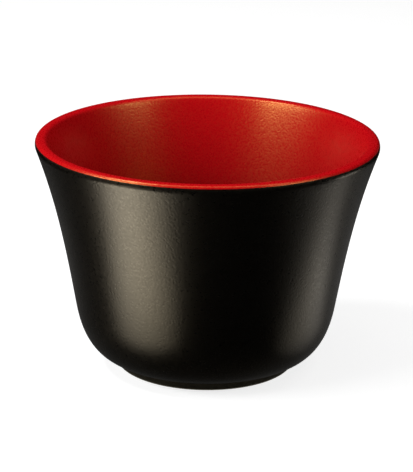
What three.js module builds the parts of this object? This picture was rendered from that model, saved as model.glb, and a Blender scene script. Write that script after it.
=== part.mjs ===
// A flared tea cup moulded in two colours, without a handle.
// A black shell stands on a bonded foot ring, and a red liner lies inside it. The liner's lip
// closes over the top edge of the shell. Millimetres, +Z up, the origin at the centre of the
// plane that the foot stands on. Every piece is turned round the Z axis, so its profile is drawn
// in radius and height.

import * as THREE from 'three';

// The whole cup. The rim radius is that of the widest circle, on the rounding of the lip.
const CUP_HEIGHT = 59;
const RIM_RADIUS = 43;

// Outside of the wall: it leaves the round heel of the bowl almost upright and flares to the rim.
// A lean is measured from the vertical, and a pull is the length of a curve's handle.
const HEEL_RADIUS = 32.9;
const HEEL_HEIGHT = 15.7;
const HEEL_LEAN_DEG = 10;
const RIM_LEAN_DEG = 20.3;
const WALL_LOWER_PULL = 13;
const WALL_UPPER_PULL = 15.4;

// Underside of the bowl, from the foot out and up to the heel. The rise is from the horizontal.
const UNDERSIDE_RISE_DEG = 8;
const UNDERSIDE_PULL = 5.8;
const HEEL_PULL = 7.6;

// Lip: a round outer edge that both colours share, and a softer inner edge.
const LIP_ROUNDING = 1;
const LIP_INNER_ROUNDING = 1.3;
const SEAM_DROP = 0.66;

// Walls of the two mouldings, and the bond between them.
const SHELL_WALL = 1.3;
const LINER_WALL = 1.4;
const BOND_GAP = 0.3;

// Foot ring, and the spigot under the shell that centres it.
const FOOT_HEIGHT = 2.3;
const FOOT_TOP_RADIUS = 22.8;
const FOOT_WIDTH = 2.8;
const FOOT_LEAN_DEG = 8.7;
const FOOT_EDGE_ROUNDING = 0.5;
const SPIGOT_HEIGHT = 0.8;
const SPIGOT_CLEARANCE = 0.3;

// Facets round the axis, and along each stretch of a profile.
const TURN_SEGMENTS = 48;
const UNDERSIDE_STEPS = 7;
const WALL_STEPS = 6;
const EDGE_STEPS = 3;

const BLACK = new THREE.MeshStandardMaterial({ color: '#1c1b17', roughness: 0.45, metalness: 0 });
const RED = new THREE.MeshStandardMaterial({ color: '#b3141a', roughness: 0.4, metalness: 0 });

const rimLean = leaning(RIM_LEAN_DEG);
const heelLean = leaning(HEEL_LEAN_DEG);
const seamHeight = CUP_HEIGHT - SEAM_DROP;
const lipCentre = new THREE.Vector2(RIM_RADIUS - LIP_ROUNDING, CUP_HEIGHT - LIP_ROUNDING);
const seamDeg = THREE.MathUtils.radToDeg(Math.asin((seamHeight - lipCentre.y) / LIP_ROUNDING));
const linerDepth = SHELL_WALL + BOND_GAP;
const insideDepth = linerDepth + LINER_WALL;
const footBore = FOOT_TOP_RADIUS - FOOT_WIDTH;
const spigotRadius = footBore - SPIGOT_CLEARANCE;

const footCorner = new THREE.Vector2(FOOT_TOP_RADIUS, FOOT_HEIGHT);
const heel = new THREE.Vector2(HEEL_RADIUS, HEEL_HEIGHT);
const wallTop = lipCentre.clone().addScaledVector(inwardsFrom(rimLean), -LIP_ROUNDING);

const underside = new THREE.CubicBezierCurve(
  footCorner,
  footCorner.clone().addScaledVector(leaning(90 - UNDERSIDE_RISE_DEG), UNDERSIDE_PULL),
  heel.clone().addScaledVector(heelLean, -HEEL_PULL),
  heel,
);

const wall = new THREE.CubicBezierCurve(
  heel,
  heel.clone().addScaledVector(heelLean, WALL_LOWER_PULL),
  wallTop.clone().addScaledVector(rimLean, -WALL_UPPER_PULL),
  wallTop,
);

/** Unit vector that leans outwards from straight up. */
function leaning(degrees) {
  const angle = THREE.MathUtils.degToRad(degrees);
  return new THREE.Vector2(Math.sin(angle), Math.cos(angle));
}

/** Unit vector at right angles to an upward direction, pointing into the cup. */
function inwardsFrom(direction) {
  return new THREE.Vector2(-direction.y, direction.x);
}

/** Points along a curve of the bowl's outside, moved into the wall by a depth. */
function sunk(curve, steps, depth) {
  return curve.getPoints(steps).map((point, step) => {
    const inwards = inwardsFrom(curve.getTangent(step / steps));
    return point.addScaledVector(inwards, depth);
  });
}

/** The bowl's outside from the foot to the top of the wall, moved into the wall by a depth. */
function bowl(depth) {
  const lower = sunk(underside, UNDERSIDE_STEPS, depth);
  const upper = sunk(wall, WALL_STEPS, depth);
  return [...lower, ...upper.slice(1)];
}

/** The same line carried on straight to above the lip, and cut off at a height below that. */
function bowlUpTo(height, depth) {
  const line = bowl(depth);
  const pastLip = (2 * LIP_ROUNDING) / rimLean.y;
  line.push(line.at(-1).clone().addScaledVector(rimLean, pastLip));
  const below = line.filter((point) => point.y < height);
  const last = below.at(-1);
  const next = line[below.length];
  const share = (height - last.y) / (next.y - last.y);
  return [...below, last.clone().lerp(next, share)];
}

/** Points on a rounded edge from one angle to another, anticlockwise, with both ends. */
function roundEdge(centre, radius, fromDeg, toDeg) {
  const from = THREE.MathUtils.degToRad(fromDeg);
  const to = THREE.MathUtils.degToRad(toDeg);
  return new THREE.EllipseCurve(centre.x, centre.y, radius, radius, from, to).getPoints(EDGE_STEPS);
}

/** A point on the axis of the cup. */
function onAxis(height) {
  return new THREE.Vector2(0, height);
}

/** Shell: spigot, seat of the foot, outside up to the seam, level seat of the lip, inside. */
function shellProfile() {
  const spigotBase = FOOT_HEIGHT - SPIGOT_HEIGHT;
  const outside = bowl(0).slice(0, -1);
  const lipEdge = roundEdge(lipCentre, LIP_ROUNDING, -RIM_LEAN_DEG, seamDeg);
  const inside = bowlUpTo(seamHeight, SHELL_WALL);
  return [
    onAxis(spigotBase),
    new THREE.Vector2(spigotRadius, spigotBase),
    new THREE.Vector2(spigotRadius, FOOT_HEIGHT),
    ...outside,
    ...lipEdge,
    ...inside.toReversed(),
    onAxis(inside[0].y),
  ];
}

/** Liner: outside up to the seat of the lip, both rounded edges of the lip, inside and floor. */
function linerProfile() {
  const outside = bowlUpTo(seamHeight, linerDepth);
  const outerEdge = roundEdge(lipCentre, LIP_ROUNDING, seamDeg, 90);
  const innerEdgeHeight = CUP_HEIGHT - LIP_INNER_ROUNDING;
  const innerCentre = bowlUpTo(innerEdgeHeight, insideDepth - LIP_INNER_ROUNDING).at(-1);
  const innerEdge = roundEdge(innerCentre, LIP_INNER_ROUNDING, 90, 180 - RIM_LEAN_DEG);
  const inside = bowlUpTo(innerEdge.at(-1).y, insideDepth);
  return [
    onAxis(outside[0].y),
    ...outside,
    ...outerEdge,
    ...innerEdge,
    ...inside.slice(0, -1).toReversed(),
    onAxis(inside[0].y),
  ];
}

/** Foot ring: a level base between two rounded edges, a leaning outside and an upright bore. */
function footProfile() {
  const lean = leaning(FOOT_LEAN_DEG);
  const sideAtEdge = FOOT_TOP_RADIUS - ((FOOT_HEIGHT - FOOT_EDGE_ROUNDING) * lean.x) / lean.y;
  const outerCentre = new THREE.Vector2(sideAtEdge - FOOT_EDGE_ROUNDING / lean.y, FOOT_EDGE_ROUNDING);
  const innerCentre = new THREE.Vector2(footBore + FOOT_EDGE_ROUNDING, FOOT_EDGE_ROUNDING);
  const base = [
    ...roundEdge(innerCentre, FOOT_EDGE_ROUNDING, 180, 270),
    ...roundEdge(outerCentre, FOOT_EDGE_ROUNDING, 270, 360 - FOOT_LEAN_DEG),
  ];
  return [...base, footCorner, new THREE.Vector2(footBore, FOOT_HEIGHT), base[0]];
}

/** A named piece turned round the Z axis. */
function turned(name, profile, material) {
  const geometry = new THREE.LatheGeometry(profile, TURN_SEGMENTS);
  geometry.rotateX(Math.PI / 2);
  const piece = new THREE.Mesh(geometry, material);
  piece.name = name;
  return piece;
}

const teaCup = new THREE.Group();
teaCup.name = 'tea_cup';
teaCup.add(
  turned('outer_shell', shellProfile(), BLACK),
  turned('inner_liner', linerProfile(), RED),
  turned('foot_ring', footProfile(), BLACK),
);

export default teaCup;
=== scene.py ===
"""Looks of a small flared tea cup: a satin black shell, a vermilion liner and a low foot ring.

Metres, +Z up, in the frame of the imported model. Every piece of the cup is turned round the Z axis:
its line is drawn in radius and height, in millimetres, and then spun. The cup stands on a pale
floor under five softboxes, seen from a little above its rim.
"""

import logging
import math
from dataclasses import dataclass
from enum import Enum

import bmesh
import bpy
from mathutils import Matrix, Vector
from mathutils.geometry import interpolate_bezier


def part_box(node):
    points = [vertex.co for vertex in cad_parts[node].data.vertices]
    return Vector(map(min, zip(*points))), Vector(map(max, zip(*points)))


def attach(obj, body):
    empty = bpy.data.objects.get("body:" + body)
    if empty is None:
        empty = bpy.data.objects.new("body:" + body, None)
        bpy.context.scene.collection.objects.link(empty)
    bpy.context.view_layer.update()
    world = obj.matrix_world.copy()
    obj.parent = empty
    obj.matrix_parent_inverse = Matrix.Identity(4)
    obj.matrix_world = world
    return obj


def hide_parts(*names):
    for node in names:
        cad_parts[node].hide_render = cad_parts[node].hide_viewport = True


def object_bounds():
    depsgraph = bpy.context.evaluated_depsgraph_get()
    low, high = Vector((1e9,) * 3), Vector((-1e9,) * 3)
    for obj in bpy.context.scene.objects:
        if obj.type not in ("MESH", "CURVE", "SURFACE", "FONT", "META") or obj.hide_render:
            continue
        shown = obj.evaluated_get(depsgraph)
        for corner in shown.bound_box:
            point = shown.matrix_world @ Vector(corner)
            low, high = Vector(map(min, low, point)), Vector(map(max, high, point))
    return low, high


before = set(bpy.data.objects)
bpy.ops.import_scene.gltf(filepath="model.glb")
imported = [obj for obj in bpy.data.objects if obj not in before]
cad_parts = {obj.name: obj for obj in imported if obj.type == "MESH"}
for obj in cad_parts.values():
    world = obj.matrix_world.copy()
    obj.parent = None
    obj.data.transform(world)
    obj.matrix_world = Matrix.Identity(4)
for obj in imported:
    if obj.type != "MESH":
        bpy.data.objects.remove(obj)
CAD_LOW, CAD_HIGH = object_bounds()

LOG = logging.getLogger("tea_cup")
MM = 0.001
BODY = "root"

# Facets round the axis, points along a curve of the bowl, and straight pieces along a rounded edge.
TURN_STEPS = 192
CURVE_POINTS = 28
EDGE_STEPS = 8

# Sides of a disc of the stage, the distance within which points are one, and the angle in degrees
# from which an edge stays sharp.
DISC_SIDES = 96
WELD_MM = 0.0005
SHARP_FROM = 35.0


class Slot(Enum):
    """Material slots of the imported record."""

    BLACK = "black_melamine"
    RED = "red_melamine"


class Node(Enum):
    """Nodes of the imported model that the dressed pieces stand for."""

    SHELL = "outer_shell"
    LINER = "inner_liner"
    FOOT = "foot_ring"


# The upper corner of the foot ring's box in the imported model, in metres.
FOOT_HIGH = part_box(Node.FOOT.value)[1]


def linear(hex_colour: str) -> tuple[float, float, float, float]:
    """Turn an sRGB hex colour to linear light.

    Args:
        hex_colour: A colour such as "#B01418".

    Returns:
        Red, green, blue and alpha for a shader socket.
    """
    levels = [int(hex_colour[place : place + 2], 16) / 255 for place in (1, 3, 5)]
    red, green, blue = [x / 12.92 if x <= 0.04045 else ((x + 0.055) / 1.055) ** 2.4 for x in levels]
    return red, green, blue, 1.0


def add_node(
    tree: bpy.types.NodeTree,
    kind: str,
    sockets: dict[str | int, object] | None = None,
    **settings: object,
) -> bpy.types.Node:
    """Add one node to a tree, with its settings, values and links.

    Args:
        tree: The material's or the world's node tree.
        kind: Blender's name for the kind of node.
        sockets: Input name or number to a value, or to the output socket that feeds it.
        settings: Properties of the node itself.

    Returns:
        The new node.
    """
    node = tree.nodes.new(kind)
    for name, value in settings.items():
        setattr(node, name, value)
    for name, value in (sockets or {}).items():
        if isinstance(value, bpy.types.NodeSocket):
            tree.links.new(value, node.inputs[name])
        else:
            node.inputs[name].default_value = value
    return node


def empty_material(name: str) -> bpy.types.Material:
    """Start a node material without any node in it.

    Args:
        name: The real material, and how its surface was made.

    Returns:
        The material.
    """
    material = bpy.data.materials.new(name)
    material.use_nodes = True
    material.node_tree.nodes.clear()
    return material


def per_metre(size_mm: float) -> float:
    """Texture scale at which one feature of a pattern is this many millimetres wide."""
    return 1 / (size_mm * MM)


@dataclass(frozen=True)
class MouldedMelamine:
    """Melamine, compression moulded in two colours in a steel mould that was polished on a lathe.

    The eye sees a satin surface: a soft highlight without a sharp edge, a fine grain inside it,
    and a tone that clouds a little where the moulding powder flowed. Where a depth shade tone is
    given, the colour turns to it from the rim down: painted shade, darker towards the bottom.
    """

    name: str
    deep: str
    bright: str
    sheen: str
    roughness: float
    roughness_spread: float = 0.1
    ior: float = 1.68
    grain_mm: float = 0.5
    grain_depth_mm: float = 0.028
    grain_detail: float = 0.0
    cloud_mm: float = 9.0
    cloud_detail: float = 3.0
    # Painted shade: the colour darkens to this tone towards the bottom, between these heights.
    depth_shade_tone: str | None = None
    depth_shade_from_mm: float = 30.0
    depth_shade_to_mm: float = CAD_HIGH.z / MM

    def tone(self, tree: bpy.types.NodeTree, place: bpy.types.NodeSocket) -> bpy.types.NodeSocket:
        """Cloud the two tones of the powder into each other, and darken them towards the bottom with
        painted shade.

        Args:
            tree: The material's node tree.
            place: Object coordinates.

        Returns:
            The colour of the surface.
        """
        cloud = add_node(
            tree,
            "ShaderNodeTexNoise",
            {"Vector": place, "Scale": per_metre(self.cloud_mm), "Detail": self.cloud_detail},
        )
        powder = add_node(
            tree,
            "ShaderNodeMix",
            {"Factor": cloud.outputs["Fac"], "A": linear(self.deep), "B": linear(self.bright)},
            data_type="RGBA",
        ).outputs["Result"]
        if self.depth_shade_tone is None:
            return powder
        # Painted shade: darker from the rim towards the bottom of the cup.
        height = add_node(tree, "ShaderNodeSeparateXYZ", {"Vector": place}).outputs["Z"]
        unshaded_share = add_node(
            tree,
            "ShaderNodeMapRange",
            {"Value": height, "From Min": self.depth_shade_from_mm * MM, "From Max": self.depth_shade_to_mm * MM},
        )
        return add_node(
            tree,
            "ShaderNodeMix",
            {"Factor": unshaded_share.outputs["Result"], "A": linear(self.depth_shade_tone), "B": powder},
            data_type="RGBA",
        ).outputs["Result"]

    def material(self) -> bpy.types.Material:
        """Build the node material.

        Returns:
            The material, with its patterns on Object coordinates.
        """
        material = empty_material(self.name)
        tree = material.node_tree
        place = add_node(tree, "ShaderNodeTexCoord").outputs["Object"]
        # The real grain is about a tenth of this size, too fine to show, so it is drawn coarser.
        grain = add_node(
            tree,
            "ShaderNodeTexNoise",
            {"Vector": place, "Scale": per_metre(self.grain_mm), "Detail": self.grain_detail},
        ).outputs["Fac"]
        gloss = add_node(
            tree,
            "ShaderNodeMapRange",
            {
                "Value": grain,
                "To Min": self.roughness - self.roughness_spread,
                "To Max": self.roughness + self.roughness_spread,
            },
        )
        bump = add_node(tree, "ShaderNodeBump", {"Height": grain, "Distance": self.grain_depth_mm * MM})
        surface = add_node(
            tree,
            "ShaderNodeBsdfPrincipled",
            {
                "Base Color": self.tone(tree, place),
                "Roughness": gloss.outputs["Result"],
                "Normal": bump.outputs["Normal"],
                "IOR": self.ior,
                "Specular Tint": linear(self.sheen),
            },
        )
        add_node(tree, "ShaderNodeOutputMaterial", {"Surface": surface.outputs["BSDF"]})
        return material


# So dark that only soft, warm highlights show its shape.
BLACK_FINISH = MouldedMelamine(
    name="black_melamine_moulded_satin",
    deep="#040303",
    bright="#080706",
    sheen="#FFECC6",
    roughness=0.32,
)

# The same black, duller, painted lighter and greyer for the light that the foot catches from the floor.
FOOT_FINISH = MouldedMelamine(
    name="black_melamine_foot_painted_light",
    deep="#343127",
    bright="#494538",
    sheen="#FFECC6",
    roughness=0.5,
)

# A full red with golden highlights, a little glossier than the outside, with painted shade that darkens it
# towards the bottom.
RED_FINISH = MouldedMelamine(
    name="vermilion_melamine_moulded_satin",
    deep="#C20612",
    bright="#CC0814",
    sheen="#FFCE72",
    roughness=0.29,
    # The deep red of the painted shade towards the bottom.
    depth_shade_tone="#84030C",
)


def leaning(degrees: float) -> Vector:
    """Unit vector that leans outwards from straight up."""
    return Vector((math.sin(math.radians(degrees)), 0, math.cos(math.radians(degrees))))


def inwards(along: Vector) -> Vector:
    """Unit vector at right angles to an upward direction, pointing into the cup."""
    return Vector((-along.z, 0, along.x))


def arc(centre: Vector, radius: float, start: float, end: float) -> list[Vector]:
    """Points on a rounded edge, with both ends.

    Args:
        centre: Centre of the rounding.
        radius: Its radius.
        start: First angle in degrees, from level.
        end: Last angle in degrees.

    Returns:
        Points in radius and height.
    """
    angles = [start + (end - start) * step / EDGE_STEPS for step in range(EDGE_STEPS + 1)]
    return [centre + leaning(90 - angle) * radius for angle in angles]


@dataclass(frozen=True)
class CupForm:
    """Sizes that the pieces of the cup share, in millimetres and degrees.

    A lean is from the vertical, and a pull is the length of a curve's handle. The rim radius is
    that of the widest circle, on the rounding of the black edge under the seam.
    """

    height: float = CAD_HIGH.z / MM
    rim_radius: float = CAD_HIGH.x / MM
    heel_radius: float = 32.9
    heel_height: float = 15.7
    heel_lean: float = 10.0
    rim_lean: float = 20.3
    wall_lower_pull: float = 13.0
    wall_upper_pull: float = 15.4
    underside_rise: float = 8.0
    underside_pull: float = 5.8
    heel_pull: float = 7.6
    lip_rounding: float = 1.0
    lip_inner_rounding: float = 1.3
    shoulder_rounding: float = 2.2
    seam_drop: float = 0.66
    shell_wall: float = 1.3
    liner_wall: float = 1.4
    bond_gap: float = 0.3
    foot_height: float = FOOT_HIGH.z / MM
    foot_radius: float = FOOT_HIGH.x / MM
    foot_width: float = 2.8

    @property
    def seam_height(self) -> float:
        """Height of the line where black meets red."""
        return self.height - self.seam_drop

    @property
    def seam_angle(self) -> float:
        """Angle of that line on the rounding of the lip, in degrees from level."""
        return math.degrees(math.asin(1 - self.seam_drop / self.lip_rounding))

    @property
    def shoulder_centre(self) -> Vector:
        """Centre of the rounding of the black edge, from the wall up to the seam."""
        drop = self.shoulder_rounding * math.sin(math.radians(self.seam_angle))
        return Vector((self.rim_radius - self.shoulder_rounding, 0, self.seam_height - drop))

    @property
    def lip_centre(self) -> Vector:
        """Centre of the tighter rounding of the red lip, which runs on from the seam."""
        outwards = leaning(90 - self.seam_angle)
        return self.shoulder_centre + outwards * (self.shoulder_rounding - self.lip_rounding)

    @property
    def foot_bore(self) -> float:
        """Radius of the opening in the foot ring."""
        return self.foot_radius - self.foot_width

    def outside(self, centre: Vector, rounding: float) -> list[Vector]:
        """Line of the bowl's outside, from the foot to where the rounding of its upper edge begins.

        Args:
            centre: Centre of that rounding.
            rounding: Its radius.

        Returns:
            Points from the foot upwards.
        """
        lean = leaning(self.heel_lean)
        rim = leaning(self.rim_lean)
        corner = Vector((self.foot_radius, 0, self.foot_height))
        past_corner = corner + leaning(90 - self.underside_rise) * self.underside_pull
        heel = Vector((self.heel_radius, 0, self.heel_height))
        below_heel = heel - lean * self.heel_pull
        above_heel = heel + lean * self.wall_lower_pull
        top = centre - inwards(rim) * rounding
        below_top = top - rim * self.wall_upper_pull
        underside = interpolate_bezier(corner, past_corner, below_heel, heel, CURVE_POINTS)
        wall = interpolate_bezier(heel, above_heel, below_top, top, CURVE_POINTS)
        return [*underside, *wall[1:]]

    def sunk(self, depth: float, height: float) -> list[Vector]:
        """Line inside the wall, at a depth from the outside as it would run up to the lip's rounding.

        Args:
            depth: Distance into the wall.
            height: Where the line, carried on straight, is cut off.

        Returns:
            Points from the foot upwards.
        """
        line = self.outside(self.lip_centre, self.lip_rounding)
        befores = [line[0], *line[:-1]]
        afters = [*line[1:], line[-1]]
        moved = [
            point + inwards((after - before).normalized()) * depth
            for before, point, after in zip(befores, line, afters)
        ]
        below = [point for point in moved if point.z < height]
        rim = leaning(self.rim_lean)
        return [*below, below[-1] + rim * ((height - below[-1].z) / rim.z)]


def turned(line: list[Vector], closed: bool) -> bmesh.types.BMesh:
    """Spin a line of points round the Z axis.

    Args:
        line: Points in millimetres, in radius and height.
        closed: True where the line closes on itself, False where it ends on the axis.

    Returns:
        A closed bmesh in metres, with its normals outwards.
    """
    shape = bmesh.new()
    points = [shape.verts.new(point * MM) for point in line]
    for start, end in zip(points, points[1:]):
        shape.edges.new((start, end))
    if closed:
        shape.edges.new((points[-1], points[0]))
    bmesh.ops.spin(
        shape,
        geom=[*shape.verts, *shape.edges],
        cent=(0, 0, 0),
        axis=(0, 0, 1),
        angle=math.tau,
        steps=TURN_STEPS,
        use_merge=True,
    )
    bmesh.ops.remove_doubles(shape, verts=shape.verts, dist=WELD_MM * MM)
    bmesh.ops.recalc_face_normals(shape, faces=shape.faces)
    return shape


def disc(radius: float, lift: float) -> bmesh.types.BMesh:
    """Make a level disc round the Z axis.

    Args:
        radius: Its radius in metres.
        lift: Its height over the floor in metres.

    Returns:
        A bmesh of one face.
    """
    shape = bmesh.new()
    bmesh.ops.create_circle(shape, cap_ends=True, radius=radius, segments=DISC_SIDES)
    bmesh.ops.translate(shape, verts=shape.verts, vec=(0, 0, lift))
    return shape


def piece_from(name: str, shape: bmesh.types.BMesh, material: bpy.types.Material) -> bpy.types.Object:
    """Make an object of a finished bmesh, smooth except at its sharp edges.

    Args:
        name: Name of the piece.
        shape: The bmesh, which is freed.
        material: Its finish.

    Returns:
        The object, linked to the scene at the origin.
    """
    mesh = bpy.data.meshes.new(name)
    shape.to_mesh(mesh)
    shape.free()
    mesh.shade_smooth()
    mesh.set_sharp_from_angle(angle=math.radians(SHARP_FROM))
    mesh.materials.append(material)
    piece = bpy.data.objects.new(name, mesh)
    bpy.context.scene.collection.objects.link(piece)
    return piece


def stand_for(piece: bpy.types.Object, node: Node) -> None:
    """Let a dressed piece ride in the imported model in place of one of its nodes.

    Args:
        piece: The dressed piece.
        node: The node that it replaces.
    """
    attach(piece, BODY)
    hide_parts(node.value)


@dataclass
class OuterShell:
    """The black outside of the cup, from the seat of the foot to the seam on the lip.

    The spigot under it, sized in millimetres, centres the foot ring.
    """

    form: CupForm
    spigot_height: float = 0.8
    spigot_clearance: float = 0.3

    def build(self) -> bmesh.types.BMesh:
        """Spin the spigot, the seat of the foot, the outside, the seat of the lip and the inside.

        Returns:
            The shell.
        """
        form = self.form
        base = form.foot_height - self.spigot_height
        spigot_radius = form.foot_bore - self.spigot_clearance
        outside = form.outside(form.shoulder_centre, form.shoulder_rounding)
        inside = form.sunk(form.shell_wall, form.seam_height)
        line = [
            Vector((0, 0, base)),
            Vector((spigot_radius, 0, base)),
            Vector((spigot_radius, 0, form.foot_height)),
            *outside[:-1],
            *arc(form.shoulder_centre, form.shoulder_rounding, -form.rim_lean, form.seam_angle),
            *reversed(inside),
            Vector((0, 0, inside[0].z)),
        ]
        return turned(line, closed=False)

    def dress(self, finish: MouldedMelamine) -> bpy.types.Object:
        """Build the shell in its finish and put it in the model.

        Args:
            finish: The black of the outside.

        Returns:
            The piece.
        """
        piece = piece_from("black_shell", self.build(), finish.material())
        stand_for(piece, Node.SHELL)
        return piece


@dataclass
class InnerLiner:
    """The red inside of the cup, with the lip that closes over the shell."""

    form: CupForm

    def build(self) -> bmesh.types.BMesh:
        """Spin the bonded outside, both rounded edges of the lip, the inside and the floor.

        Returns:
            The liner.
        """
        form = self.form
        bond_depth = form.shell_wall + form.bond_gap
        inside_depth = bond_depth + form.liner_wall
        rounding = form.lip_inner_rounding
        inner_centre = form.sunk(inside_depth - rounding, form.height - rounding)[-1]
        inner_edge = arc(inner_centre, rounding, 90, 180 - form.rim_lean)
        outside = form.sunk(bond_depth, form.seam_height)
        inside = form.sunk(inside_depth, inner_edge[-1].z)
        line = [
            Vector((0, 0, outside[0].z)),
            *outside,
            *arc(form.lip_centre, form.lip_rounding, form.seam_angle, 90),
            *inner_edge,
            *reversed(inside[:-1]),
            Vector((0, 0, inside[0].z)),
        ]
        return turned(line, closed=False)

    def dress(self, finish: MouldedMelamine) -> bpy.types.Object:
        """Build the liner in its finish and put it in the model.

        Args:
            finish: The red of the inside.

        Returns:
            The piece.
        """
        piece = piece_from("red_liner", self.build(), finish.material())
        stand_for(piece, Node.LINER)
        return piece


@dataclass
class FootRing:
    """The low black ring that the cup stands on, in millimetres and degrees.

    An edge counts as one of the base where it lies below the base height, and as a corner where
    its faces fold by more than the corner fold.
    """

    form: CupForm
    lean: float = 8.7
    edge_rounding: float = 0.5
    edge_segments: int = 6
    base_height: float = 0.1
    corner_fold: float = 30.0

    def build(self) -> bmesh.types.BMesh:
        """Spin the ring's section and round its two lower edges.

        Returns:
            The ring.
        """
        form = self.form
        base_radius = form.foot_radius - form.foot_height * math.tan(math.radians(self.lean))
        line = [
            Vector((form.foot_bore, 0, 0)),
            Vector((base_radius, 0, 0)),
            Vector((form.foot_radius, 0, form.foot_height)),
            Vector((form.foot_bore, 0, form.foot_height)),
        ]
        shape = turned(line, closed=True)
        base = [edge for edge in shape.edges if all(v.co.z < self.base_height * MM for v in edge.verts)]
        corners = [edge for edge in base if edge.calc_face_angle() > math.radians(self.corner_fold)]
        bmesh.ops.bevel(
            shape,
            geom=corners,
            offset=self.edge_rounding * MM,
            segments=self.edge_segments,
            profile=0.5,
            affect="EDGES",
            material=-1,
        )
        return shape

    def dress(self, finish: MouldedMelamine) -> bpy.types.Object:
        """Build the ring in its finish and put it in the model.

        Args:
            finish: The black of the foot, painted lighter for the light it catches from the floor.

        Returns:
            The piece.
        """
        piece = piece_from("black_foot_ring", self.build(), finish.material())
        stand_for(piece, Node.FOOT)
        return piece


@dataclass(frozen=True)
class Softbox:
    """A rectangular studio light that faces the cup, in metres, degrees and watts.

    Its azimuth is from the camera's side, to the right, and its elevation is above the floor.
    """

    name: str
    azimuth: float
    elevation: float
    width: float
    height: float
    power: float
    distance: float = 0.6
    aim_height: float = 0.04

    def hang(self) -> bpy.types.Object:
        """Put the light in the scene, unseen by the camera itself.

        Returns:
            The lamp.
        """
        light = bpy.data.lights.new(self.name, "AREA")
        light.shape = "RECTANGLE"
        light.size = self.width
        light.size_y = self.height
        light.energy = self.power
        lamp = bpy.data.objects.new(self.name, light)
        bpy.context.scene.collection.objects.link(lamp)
        turn = math.radians(self.azimuth)
        rise = math.radians(self.elevation)
        level = math.cos(rise)
        away = Vector((math.sin(turn) * level, -math.cos(turn) * level, math.sin(rise)))
        lamp.location = Vector((0, 0, self.aim_height)) + away * self.distance
        lamp.rotation_euler = (-away).to_track_quat("-Z", "Y").to_euler()
        lamp.visible_camera = False
        return lamp


# The two low ones show in the far wall of the inside, as a strong highlight on the right and a
# fainter one on the left. The others, from higher up, light the red evenly.
SOFTBOXES = (
    Softbox("key_left", azimuth=-65, elevation=32, width=0.36, height=0.1, power=1.92),
    Softbox("top_left", azimuth=-80, elevation=60, width=0.2, height=0.13, power=1.92),
    Softbox("fill_right", azimuth=68, elevation=60, width=0.22, height=0.3, power=0.45),
    Softbox("low_right", azimuth=62, elevation=32, width=0.26, height=0.12, power=0.62),
    Softbox("overhead", azimuth=0, elevation=88, width=0.3, height=0.3, power=0.41),
)


@dataclass(frozen=True)
class Pool:
    """A soft oval pool of painted light on the sheet that only reflections show, in millimetres, with its
    length turned from the X axis.
    """

    x: float
    y: float
    length: float
    width: float
    turn: float
    brightness: float


# Glowing pools on the sheet, no lamps: the highlights on the black outside are painted reflections of
# them.
POOLS = (
    # Painted reflections: the broad highlight on the left of the black wall, and the narrow one on its
    # right.
    Pool(x=-76.9, y=-62.7, length=130, width=72.5, turn=16.6, brightness=6.8),
    Pool(x=73.7, y=-4.6, length=103, width=42, turn=28.6, brightness=1.5),
    # Two that lie so far off that mainly the rounding under the seam mirrors them.
    Pool(x=180, y=20, length=150, width=60, turn=14, brightness=4),
    Pool(x=-165, y=-170, length=130, width=80, turn=42, brightness=3),
    # Faint light behind the cup and round its foot.
    Pool(x=11, y=71, length=300, width=208, turn=-7, brightness=0.23),
    Pool(x=0, y=0, length=100, width=100, turn=0, brightness=0.06),
)


@dataclass
class PaintedReflectionSheet:
    """What the glossy cup mirrors: a dark sheet with glowing pools, painted reflections and highlights.

    Only reflections show it. The camera, shadows and soft light pass through it to the pale floor.
    """

    pools: tuple[Pool, ...]
    dimness: float = 0.001
    radius: float = 3.0
    lift: float = 0.0004

    def material(self) -> bpy.types.Material:
        """Build the painted glow of the sheet, in which each pool fades from its middle to its edge.

        Returns:
            The material, with the pools on Object coordinates.
        """
        material = empty_material("painted_reflections_dark_with_pools")
        tree = material.node_tree
        place = add_node(tree, "ShaderNodeTexCoord").outputs["Object"]
        glow = self.dimness
        for pool in self.pools:
            oval = add_node(
                tree,
                "ShaderNodeMapping",
                {
                    "Vector": place,
                    "Location": (pool.x * MM, pool.y * MM, 0),
                    "Rotation": (0, 0, math.radians(pool.turn)),
                    "Scale": (pool.length / 2 * MM, pool.width / 2 * MM, 1),
                },
                vector_type="TEXTURE",
            ).outputs["Vector"]
            fade = add_node(tree, "ShaderNodeTexGradient", {"Vector": oval}, gradient_type="SPHERICAL")
            glow = add_node(
                tree,
                "ShaderNodeMath",
                {0: fade.outputs["Fac"], 1: pool.brightness, 2: glow},
                operation="MULTIPLY_ADD",
            ).outputs["Value"]
        light = add_node(tree, "ShaderNodeEmission", {"Strength": glow})
        add_node(tree, "ShaderNodeOutputMaterial", {"Surface": light.outputs["Emission"]})
        return material

    def lay(self) -> bpy.types.Object:
        """Lay the sheet of painted reflections just over the floor.

        Returns:
            The sheet, which is part of the stage.
        """
        reflection_sheet = piece_from("painted_reflection_sheet", disc(self.radius, self.lift), self.material())
        reflection_sheet.visible_camera = False
        reflection_sheet.visible_diffuse = False
        reflection_sheet.visible_shadow = False
        reflection_sheet.visible_transmission = False
        return reflection_sheet


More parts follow.
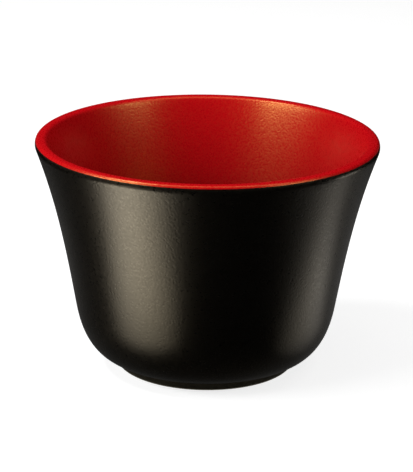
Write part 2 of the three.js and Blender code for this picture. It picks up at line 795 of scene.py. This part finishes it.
@dataclass
class Studio:
    """Pale floor, dim surroundings, the softboxes and the sheet of painted reflections that the cup
    mirrors.
    """

    softboxes: tuple[Softbox, ...]
    reflection_sheet: PaintedReflectionSheet
    floor_radius: float = 6.0
    floor_glow: float = 0.79
    floor_tone: str = "#BCBCBC"
    ambient: float = 0.004

    @staticmethod
    def seen_directly(tree: bpy.types.NodeTree) -> bpy.types.NodeSocket:
        """Tell what the camera, a reflection or a clear body shows from soft light.

        Args:
            tree: The floor's node tree.

        Returns:
            One where the floor is shown, and zero where it only gives soft light.
        """
        path = add_node(tree, "ShaderNodeLightPath").outputs
        shown = path["Is Camera Ray"]
        for ray in ("Is Glossy Ray", "Is Transmission Ray"):
            shown = add_node(
                tree, "ShaderNodeMath", {0: shown, 1: path[ray]}, operation="MAXIMUM"
            ).outputs["Value"]
        return shown

    def lay_floor(self) -> bpy.types.Object:
        """Lay a wide pale floor that glows enough to be white where it is lit, and keeps shadows.

        Returns:
            The floor, which is part of the stage.
        """
        material = empty_material("pale_studio_floor")
        tree = material.node_tree
        glow = add_node(
            tree, "ShaderNodeMath", {0: self.seen_directly(tree), 1: self.floor_glow}, operation="MULTIPLY"
        )
        light = add_node(tree, "ShaderNodeEmission", {"Strength": glow.outputs["Value"]})
        matt = add_node(tree, "ShaderNodeBsdfDiffuse", {"Color": linear(self.floor_tone)})
        both = add_node(
            tree, "ShaderNodeAddShader", {0: light.outputs["Emission"], 1: matt.outputs["BSDF"]}
        )
        add_node(tree, "ShaderNodeOutputMaterial", {"Surface": both.outputs["Shader"]})
        floor = piece_from("studio_floor", disc(self.floor_radius, lift=0), material)
        return floor

    def dim_surroundings(self) -> bpy.types.World:
        """Put dim grey all round.

        Returns:
            The world.
        """
        world = bpy.data.worlds.new("dim_surroundings")
        world.use_nodes = True
        tree = world.node_tree
        tree.nodes.clear()
        sky = add_node(tree, "ShaderNodeBackground", {"Strength": self.ambient})
        add_node(tree, "ShaderNodeOutputWorld", {"Surface": sky.outputs["Background"]})
        bpy.context.scene.world = world
        return world

    def build(self) -> None:
        """Lay the floor, dim the surroundings, hang the softboxes and lay the sheet of painted
        reflections.
        """
        self.lay_floor()
        self.dim_surroundings()
        for softbox in self.softboxes:
            softbox.hang()
        self.reflection_sheet.lay()


@dataclass
class PhotoCamera:
    """The camera at the photograph's angle: a long lens, a little above the rim, rolled slightly.

    Its distance is in metres, and its angles are in degrees.
    """

    distance: float = 0.6
    elevation: float = 17.98
    roll: float = 0.694
    lens_mm: float = 181.23
    sensor_mm: float = 36.0
    aim_mm: tuple[float, float, float] = (0.02, 0.0, 33.05)

    def place(self) -> bpy.types.Object:
        """Make the scene's camera.

        Returns:
            The camera.
        """
        data = bpy.data.cameras.new("photo_camera")
        data.lens = self.lens_mm
        data.sensor_width = self.sensor_mm
        camera = bpy.data.objects.new("photo_camera", data)
        bpy.context.scene.collection.objects.link(camera)
        rise = math.radians(self.elevation)
        across = Vector((1, 0, 0))
        up = Vector((0, math.sin(rise), math.cos(rise)))
        back = Vector((0, -math.cos(rise), math.sin(rise)))
        roll = Matrix.Rotation(math.radians(self.roll), 3, "Z")
        facing = Matrix((across, up, back)).transposed() @ roll
        stand = Vector(self.aim_mm) * MM + back * self.distance
        camera.matrix_world = Matrix.Translation(stand) @ facing.to_4x4()
        bpy.context.scene.camera = camera
        return camera


def main() -> None:
    """Place the camera, build the cup and the studio, and log the faces of each piece."""
    logging.basicConfig(level=logging.INFO, format="%(name)s: %(message)s")
    bpy.context.scene.view_settings.view_transform = "Standard"
    PhotoCamera().place()
    form = CupForm()
    pieces = [
        OuterShell(form).dress(BLACK_FINISH),
        InnerLiner(form).dress(RED_FINISH),
        FootRing(form).dress(FOOT_FINISH),
    ]
    for piece in pieces:
        LOG.info("%s: %d faces in %s", piece.name, len(piece.data.polygons), piece.active_material.name)
    Studio(SOFTBOXES, PaintedReflectionSheet(POOLS)).build()


if __name__ == "__main__":
    main()
